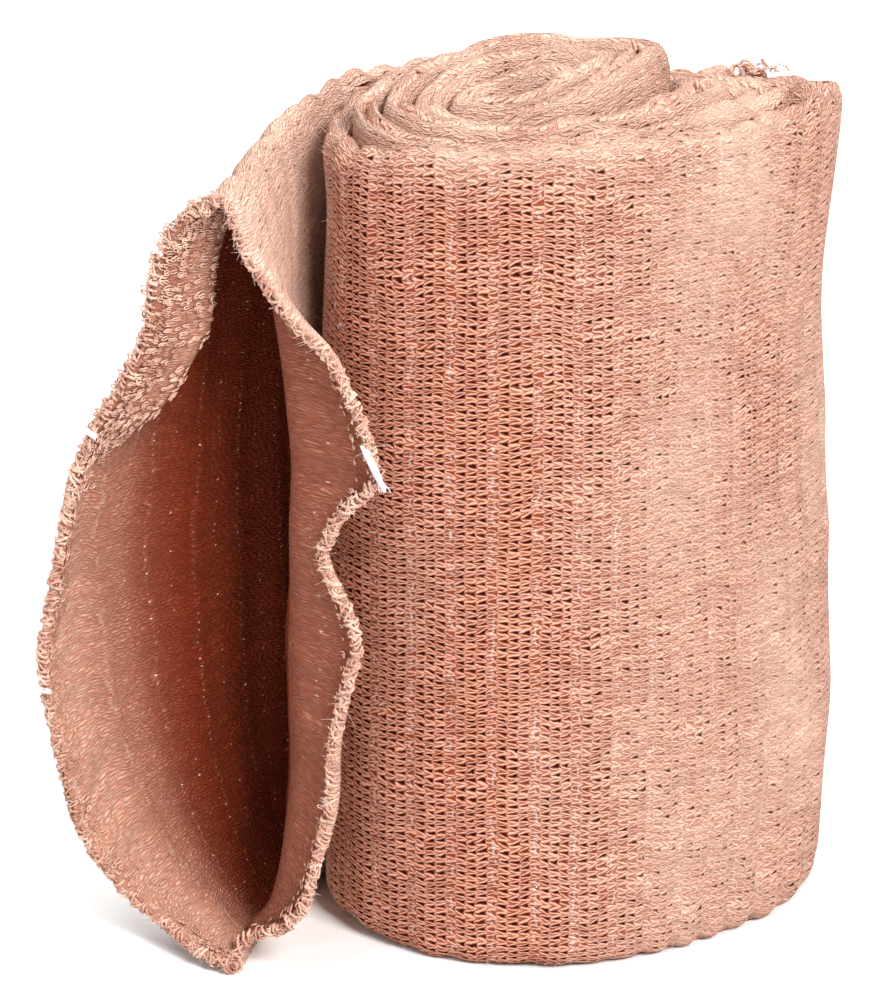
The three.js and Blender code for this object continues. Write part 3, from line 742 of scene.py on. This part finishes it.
# Painted light: paler where the stitches are shut, on the top folds and the loose end. Painted shade:
# redder where they stand open, on the left of the front
paler_painted_light = m.mix(m.ramp(standing_and_painted_light, -0.12, 0.06), (0.97, 0.650, 0.515, 1), (0.91, 0.590, 0.460, 1))
pale = m.mix(m("MAXIMUM", standing_and_painted_light, 0), paler_painted_light, (0.88, 0.412, 0.287, 1))
yarn = m.mix(lit, (0.29, 0.065, 0.032, 1), pale)
line_off = abs(f - 0.5 + (leg_luck - 0.5) * 0.35)
thread = ((1 - line_off * 5) * on_line).held()
thread = thread * m.ramp(luck, 0.25, 0.60) * m.ramp(fibre, 0.40, 0.60, 0.25, 0.9)
yarn = m.mix(thread, yarn, (0.88, 0.66, 0.60, 1))
speck = m("GREATER_THAN", luck, 0.86) * m.ramp(fibre, 0.57, 0.63)
yarn = m.mix((speck * thread * 1.6).held(), yarn, (0.93, 0.90, 0.88, 1))
# Painted shade: the holes are near black
outside_colour = m.mix(hole * 0.97, yarn, (0.035, 0.003, 0.001, 1))

# %% Colour of the inside
# Loop backs with painted shade between them, painted shade between the ribs, and painted shade that grows
# further into the mouth
back_lit = (back * 0.50 + (fibre - 0.30) * 0.9).held()
inside_colour = m.mix(back_lit, (0.46, 0.150, 0.080, 1), (0.98, 0.700, 0.550, 1))
rib = m("COSINE", (column - 0.5) * (np.pi / 2))
inside_colour = m.mix(m.ramp(rib, -1, 1, 0, 0.34), inside_colour, (0.42, 0.150, 0.085, 1))
inside_colour = m.mix(thread * 0.60, inside_colour, (0.98, 0.80, 0.68, 1))
colour = m.mix(inside, outside_colour, inside_colour)
# Painted shade: the inside of the mouth darker and redder by the stored value
painted_shade_depth = m.stored("painted_deep_shade")
colour = m.mix(painted_shade_depth, colour, m.mix(1, colour, (0.37, 0.118, 0.068, 1), "MULTIPLY"))

# Light through pin-holes, in every second stitch and more often on an elastic line
dot = m("POWER", (f - 0.5) * 10, 2) + m("POWER", across * 8, 2)
pin = (1 - dot).held() * m.every(2, column_number)
pin = (pin * (m.ramp(luck, 0.70, 0.95) + on_line * 0.2)).held()
colour = m.mix(pin * inside * m.ramp(painted_shade_depth, 0.45, 0.8), colour, (1, 0.74, 0.56, 1))
patch = m.ramp(m.noise(m.place(), 38, 3), 0.32, 0.68)
colour = m.mix(0.5, colour, m.mix(patch, (0.93, 0.90, 0.88, 1), (1, 1, 1, 1)), "MULTIPLY")
m.finish(colour, height, 0.00062, 0.95, 0.05)
knit_tube.data.materials.append(m.material)

# %% [markdown]
# ## Strands of yarn
# The cut edge, the lint and the loose threads are all thin round strands along short paths. One
# helper makes any number of them as a single joined mesh. Each path gets a ring of corners at every
# point, in the plane square to it, and both ends are closed.

# %% Many strands at once
STRAND_LOWEST = 0.00005     # metres
CAPS = {4: [[0, 1, 2, 3]], 8: [[0, 1, 2, 3], [0, 3, 4, 7], [4, 5, 6, 7]]}


def drawn(low, high, count):
    """One chance number from low to high for each of many strands."""
    return chance.uniform(low, high, (count, 1, 1))


def scattered(count, spread=1.0):
    """One chance vector for each of many strands, as wide as spread."""
    return chance.normal(size=(count, 1, 3)) * spread


def strand_mesh(name, paths, radius, hint, sides=4):
    """Tubes along paths (count, points, 3) in millimetres. Corner = point + radius * (cos a * side +
    sin a * other), where side is square to the path and to hint, and other to both. The radius has the
    shape (count, 1, 1), or (1, points, 1) where it changes along the strands."""
    count, steps = paths.shape[:2]
    radius = np.broadcast_to(radius, (count, steps, 1))[..., None]
    forward = unit(np.gradient(paths, axis=1))
    side = unit(np.cross(forward, np.broadcast_to(hint, forward.shape)))
    other = np.cross(forward, side)
    angle = (np.arange(sides) + 0.5) * 2 * np.pi / sides
    ring = np.cos(angle)[:, None] * side[:, :, None] + np.sin(angle)[:, None] * other[:, :, None]
    points = put_in_frame((paths[:, :, None] + radius * ring).reshape(-1, 3))
    points[:, 2] = np.maximum(points[:, 2], STRAND_LOWEST)
    cap = np.array(CAPS[sides])
    one = np.concatenate([ring_faces(steps, sides), cap[:, ::-1], cap + (steps - 1) * sides])
    faces = (one[None] + (np.arange(count) * steps * sides)[:, None, None]).reshape(-1, 4)
    return mesh_object(name, points, faces)


# %% [markdown]
# ## The cut edge
# A knitted edge that has been cut curls over and its open loops stand out of it. Short strands wrap
# round the lip, two to each row of stitches, each a little askew. Free loops stand between them.
# They are longest on the upper left of the mouth, where the edge has frayed.

# %% Frames along the rim
rim_points = middle_of_lip
rim_along = unit(np.roll(rim_points, -1, axis=0) - np.roll(rim_points, 1, axis=0))
rim_out = normal[-1]
rim_ahead = unit(np.cross(rim_along, rim_out))
rim_ahead *= np.sign(rim_ahead @ end_run)[:, None]


def on_rim(places):
    """Point, direction along the rim, direction out of the cloth and direction off the edge at places
    from 0 to 1 round the rim, read between the ring's own points. Each has the shape (count, 1, 3)."""
    point, *ways = [read(np.concatenate([field, field[:1]]), share_closed, np.mod(places, 1))[:, None]
                    for field in (rim_points, rim_along, rim_out, rim_ahead)]
    return [point] + [unit(way) for way in ways]


# %% Strands wrapped round the lip
WRAPS = 440
point, along_rim, out_rim, off_rim = on_rim((np.arange(WRAPS) + chance.uniform(-0.9, 0.9, WRAPS)) / WRAPS)
first_angle = np.radians(drawn(-60, 20, WRAPS))
last_angle = np.radians(drawn(150, 235, WRAPS))
turn_angle = first_angle + (last_angle - first_angle) * np.linspace(0, 1, 9)[None, :, None]
wrap_size = drawn(0.50, 0.84, WRAPS)
askew = chance.normal(0, 0.55, (WRAPS, 1, 1))
wraps = point + wrap_size * (np.cos(turn_angle) * out_rim + np.sin(turn_angle) * off_rim)
wraps = wraps + along_rim * askew * np.cos(turn_angle) + chance.normal(0, 0.07, wraps.shape)
edge_wraps = strand_mesh("edge_wraps", wraps, drawn(0.13, 0.20, WRAPS), along_rim)

# %% Free loops standing out of the edge
LOOPS = 950
s_loop = np.linspace(0, 1, 10)[None, :, None]
arch = np.sin(np.pi * s_loop)


def loop_shape(half_wide, tall, sunk_in):
    """An open loop: x = -cos(pi s) (0.75 + 0.6 sin(pi s)) half_wide and y = sin(pi s) tall - sunk_in."""
    return -np.cos(np.pi * s_loop) * (0.75 + 0.6 * arch) * half_wide, arch * tall - sunk_in


place = np.sort(chance.uniform(0, 1, LOOPS))
point, along_rim, out_rim, off_rim = on_rim(place)
height = point[..., 2:]
frayed = ease(54, 70, height) * (place < 0.5)[:, None, None] * ease(99, 96, height)
tall = drawn(0.35, 0.80, LOOPS) + frayed * drawn(0.1, 0.8, LOOPS)
half_wide = drawn(0.16, 0.34, LOOPS) + 0.08 * frayed
lean_out = chance.normal(0.05, 0.8, (LOOPS, 1, 1)) + 0.35 * frayed
stand = unit(off_rim * np.cos(lean_out) + out_rim * np.sin(lean_out))
loop_x, loop_y = loop_shape(half_wide, tall, 0.2)
shear = chance.normal(0, 0.4, (LOOPS, 1, 1))
square_to = unit(np.cross(stand, along_rim))
sideways = chance.normal(0, 0.25, (LOOPS, 1, 1)) * arch ** 2
loops = point + along_rim * (loop_x + shear * loop_y) + stand * (loop_y + 0.3) + square_to * sideways
edge_loops = strand_mesh("edge_loops", loops, drawn(0.07, 0.12, LOOPS), square_to + 0.01)

# %% Loops on the curled band inside the lip
BAND_LEFT, BAND_ALL = 620, 420          # more of them on the upper left than all round
BAND = BAND_LEFT + BAND_ALL
upper_left = np.where((ring_share * 200 > 56) & (ring_share * 200 < 98))[0]
rows = np.concatenate([chance.integers(-7, -1, BAND_LEFT), chance.integers(-3, -1, BAND_ALL)])
columns = np.concatenate([chance.choice(upper_left, BAND_LEFT), chance.integers(0, COLUMNS, BAND_ALL)])
corner = lining[rows, columns][:, None]
part = drawn(0, 1, BAND)
to_edge = unit(lining[rows + 1, columns][:, None] - corner)
on_band = corner * (1 - part) + lining[rows, (columns + 1) % COLUMNS][:, None] * part
on_band = on_band + to_edge * drawn(-0.35, 0.35, BAND)
into_mouth = -normal[pocket][rows, columns][:, None]
band_stand = unit(to_edge + into_mouth * drawn(0.0, 0.25, BAND) + 0.18 * scattered(BAND))
band_along = unit(np.cross(band_stand, into_mouth))
band_tall, band_wide = drawn(0.5, 1.1, BAND), drawn(0.14, 0.26, BAND)
bow_x, bow_y = loop_shape(band_wide, band_tall, 0.1)
bows = on_band + band_along * bow_x + band_stand * bow_y + into_mouth * (0.08 + 0.16 * arch)
band_loops = strand_mesh("band_loops", bows, drawn(0.06, 0.10, BAND), into_mouth + 0.01)

# %% [markdown]
# ## Lint
# Short fibre ends stand off the yarn and catch the light, most of all against the outline. They are
# hair-thin bent strands, rooted at random points of the cloth and leaning off its surface.

# %% Fibre ends on the outside and along the rim
LINT_WALL, LINT_EDGE = 2600, 900
LINT = LINT_WALL + LINT_EDGE
showing = np.where(stations > outer_start - 3)[0]
rows_hit = chance.choice(showing, LINT_WALL)
columns_hit = chance.integers(0, COLUMNS, LINT_WALL)
edge_point, edge_along, edge_out, edge_off = on_rim(chance.uniform(0, 1, LINT_EDGE))
swing = chance.normal(0, 0.9, (LINT_EDGE, 1, 1))
edge_root = edge_point + edge_off * 0.6 + edge_along * chance.normal(0, 0.4, (LINT_EDGE, 1, 1))
edge_lift = edge_off * np.cos(swing) + edge_out * np.sin(swing)
root = np.concatenate([skin[rows_hit, columns_hit][:, None], edge_root])
lift = np.concatenate([normal[rows_hit, columns_hit][:, None], edge_lift])
wander = unit(scattered(LINT))
long_fibre = chance.gamma(4.0, 0.16, (LINT, 1, 1)) + 0.15
first_way = unit(lift + 0.9 * wander)
second_way = unit(scattered(LINT) + 0.4 * lift)
s_fibre = np.linspace(0, 1, 4)[None, :, None]
fibres = root - lift * 0.08 + long_fibre * (first_way * s_fibre + 0.6 * second_way * s_fibre ** 2)
lint = strand_mesh("lint", fibres, np.linspace(0.024, 0.010, 4)[None, :, None], unit(scattered(LINT)))

# %% [markdown]
# ## White elastic ends
# The elastic lines are covered rubber threads. Where they were cut, a few stick out of the edge:
# a long one on the right-hand lip that points down, and three short ones on the left. Each is a
# tapering round strand with five fibrils wound round it.

# %% Elastic ends and their fibrils
ENDS = [
    # side of the mouth, height, length, thickness, outwards, downwards
    (-1, 68.0, 4.8, 1.0, 0.55, -0.95), (1, 64.3, 2.4, 0.8, 0.8, 0.6),
    (1, 88.0, 2.2, 0.8, 0.7, 0.8), (1, 31.0, 1.8, 0.7, 1.0, 0.2),
]
FIBRILS, FIBRIL_RADIUS = 5, 0.045
last_run = unit(LOOSE[-1, 1:3] - LOOSE[-2, 1:3])
last_run_3d = np.array([*last_run, 0.0])
t = np.linspace(-0.12, 1, 16)[:, None]
elastic_ends = []
for number, (side, height, long, wide, outwards, downwards) in enumerate(ENDS, 1):
    across = side * np.array([last_run[1], -last_run[0]])
    reach = np.interp(height, RIM[:, 0], RIM[:, 1 if side > 0 else 2]) - 0.9
    start = np.array([*(LOOSE[-1, 1:3] + across * reach + last_run * 0.95), height])
    way = np.array([*(across * long * outwards + last_run * 0.5), long * downwards])
    middle = start + way * t - [0, 0, 0.25 * long] * t ** 2 * (side > 0)
    taper = wide * 0.46 * np.interp(t, [-0.12, 0.1, 0.55, 0.9, 1], [0.85, 1, 0.92, 0.62, 0.34])
    rope = strand_mesh(f"elastic_thread_{number}", middle[None], taper[None], last_run_3d, sides=8)
    turned = np.linspace(0, 5, 16)[None, :, None] + np.arange(FIBRILS)[:, None, None] * 1.26
    round_it = np.cos(turned) * [*across, 0.0] + np.sin(turned) * last_run_3d
    hair = middle[None] + 0.9 * taper[None] * round_it
    hair[:, -3:] += chance.normal(0, 0.12, (FIBRILS, 1, 3)) * np.array([1, 2, 3])[:, None]
    fibrils = strand_mesh(f"elastic_fibrils_{number}", hair, FIBRIL_RADIUS, [0.2, 0.1, 0.97])
    elastic_ends.append((rope, fibrils))

# %% [markdown]
# ## A tuft at the back
# At the back right a snagged stitch has drawn up a small tuft of yarn, with the frayed end of a
# white thread beside it: a handful of loose loops and fibres, scattered by chance.

# %% Yarn tuft and white fray
TUFT_LOOPS, FRAY = 26, 34
TUFT = np.array([36.4, 13.2, 0.0])
near_tuft = np.hypot(skin[..., 0] - TUFT[0], skin[..., 1] - TUFT[1]) < 1.6
TUFT[2] = skin[near_tuft][:, 2].max() + 0.25
curl_angle = np.linspace(-0.6, np.pi + 0.6, 12)[None, :, None]
first_axis = unit(scattered(TUFT_LOOPS, (1.4, 0.8, 0.5)))
second_axis = unit(np.cross(first_axis, scattered(TUFT_LOOPS)))
second_axis[..., 2] = np.abs(second_axis[..., 2])
size = drawn(0.45, 0.95, TUFT_LOOPS)
tuft_centre = TUFT + scattered(TUFT_LOOPS, (1.1, 0.55, 0.30))
curls = tuft_centre + size * (np.cos(curl_angle) * first_axis + np.sin(curl_angle) * second_axis * 0.9)
yarn_tuft = strand_mesh("yarn_tuft", curls, drawn(0.10, 0.17, TUFT_LOOPS),
                        np.cross(first_axis, second_axis) + 0.01)
s_fray = np.linspace(0, 1, 7)[None, :, None]
fray_root = TUFT + [1.6, 0.2, 0.1] + scattered(FRAY, (0.9, 0.4, 0.25))
fray_way = unit(scattered(FRAY, (1.0, 0.6, 0.5)) + [0.55, 0, 0.55])
fray_bend = unit(scattered(FRAY))
fray = fray_root + drawn(0.9, 2.3, FRAY) * (fray_way * s_fray + 0.45 * fray_bend * s_fray ** 2)
fray_radius = np.linspace(0.055, 0.030, 7)[None, :, None]
white_fray = strand_mesh("white_fray", fray, fray_radius, unit(scattered(FRAY)))

# %% [markdown]
# ## Yarn, lint and elastic finishes
# Loose yarn has no stitches, so two tones mixed by fine noise stand for its fibres. The lint is
# paler than the cloth because single fibres let light through. The elastic is a cool white.

# %% Three small materials
def strand_material(name, dark, pale, grain, rough):
    """Two tones mixed by fine noise on Object coordinates, with the same noise as a shallow bump."""
    m = Formula(name)
    fine = m.noise(m.place(), grain, 3.0)
    blend = m.noise(m.place(), 420.0, 2.0) * 0.8 + fine * 0.6
    m.finish(m.mix(m.ramp(blend, 0.52, 0.92), dark, pale), fine, 0.00010, rough, 0.15, sheen=0.10)
    return m.material


loose_yarn = strand_material("loose_yarn", (0.40, 0.172, 0.115, 1), (0.83, 0.545, 0.425, 1), 2600.0, 0.9)
fibre_ends = strand_material("fibre_ends", (0.78, 0.550, 0.450, 1), (0.92, 0.760, 0.670, 1), 900.0, 0.8)
white_elastic = strand_material("white_elastic", (0.66, 0.68, 0.72, 1), (0.90, 0.91, 0.93, 1), 2400.0, 0.6)
white_pieces = [white_fray] + [piece for pair in elastic_ends for piece in pair]
for pieces, finish in (((edge_wraps, edge_loops, band_loops, yarn_tuft), loose_yarn),
                       ((lint,), fibre_ends), (white_pieces, white_elastic)):
    for piece in pieces:
        piece.data.materials.append(finish)

# %% [markdown]
# ## Floor and light
# The picture has no background, so a wide pale floor and a plain white sky are enough. A strong soft
# light at the front right leaves the left of the roll in its own shade. Two from above brighten the
# folded edges and the outside of the loose end, and a weak one reaches in from the front left.

# %% Floor, sky and four soft lights
floor_mesh = bpy.data.meshes.new("floor")
floor_mesh.from_pydata([(-2, -2, 0), (2, -2, 0), (2, 2, 0), (-2, 2, 0)], [], [(0, 1, 2, 3)])
floor = new_object("floor", floor_mesh)
floor_finish = bpy.data.materials.new("floor_finish")
floor_finish.use_nodes = True
floor_finish.node_tree.nodes["Principled BSDF"].inputs["Base Color"].default_value = (0.90, 0.90, 0.90, 1)
floor_mesh.materials.append(floor_finish)

sky = bpy.data.worlds.new("sky")
sky.use_nodes = True
background = sky.node_tree.nodes["Background"].inputs
background["Color"].default_value = (1, 1, 1, 1)
background["Strength"].default_value = 0.29
bpy.context.scene.world = sky
bpy.context.scene.view_settings.view_transform = "Standard"


def soft_light(name, watts, size, place):
    """A square area light that faces the middle of the roll."""
    light = bpy.data.lights.new(name, "AREA")
    light.energy, light.size = watts, size
    lamp = new_object(name, light)
    lamp.location = place
    lamp.rotation_euler = (Vector((0, 0, 0.05)) - Vector(place)).to_track_quat("-Z", "Y").to_euler()


soft_light("front_right_light", 31, 0.6, (0.64, -0.93, 1.03))
soft_light("top_light", 9, 0.6, (0.10, 0.45, 1.28))
soft_light("top_left_light", 8, 0.5, (-0.40, -0.28, 1.22))
soft_light("front_left_light", 3.0, 0.4, (-0.50, -1.15, 0.75))

# %% [markdown]
# ## What each piece stands for
# The knitted tube takes the place of the plain solid of the frame, and the four white strands that
# of its four elastic ends. Nothing moves, so every piece rides on the root. Pressed flat, the tube is
# 0.10 m wide and as long as its path.

# %% Pieces on the root
soft_pieces = [knit_tube, edge_wraps, edge_loops, band_loops, lint, yarn_tuft]
for piece in soft_pieces + white_pieces:
    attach(piece, "root")
    "knit" if piece in soft_pieces else "elastic"
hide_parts("tubular_bandage")
for number, (rope, fibrils) in enumerate(elastic_ends, 1):
    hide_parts(f"elastic_end_{number}")

bpy.context.view_layer.update()
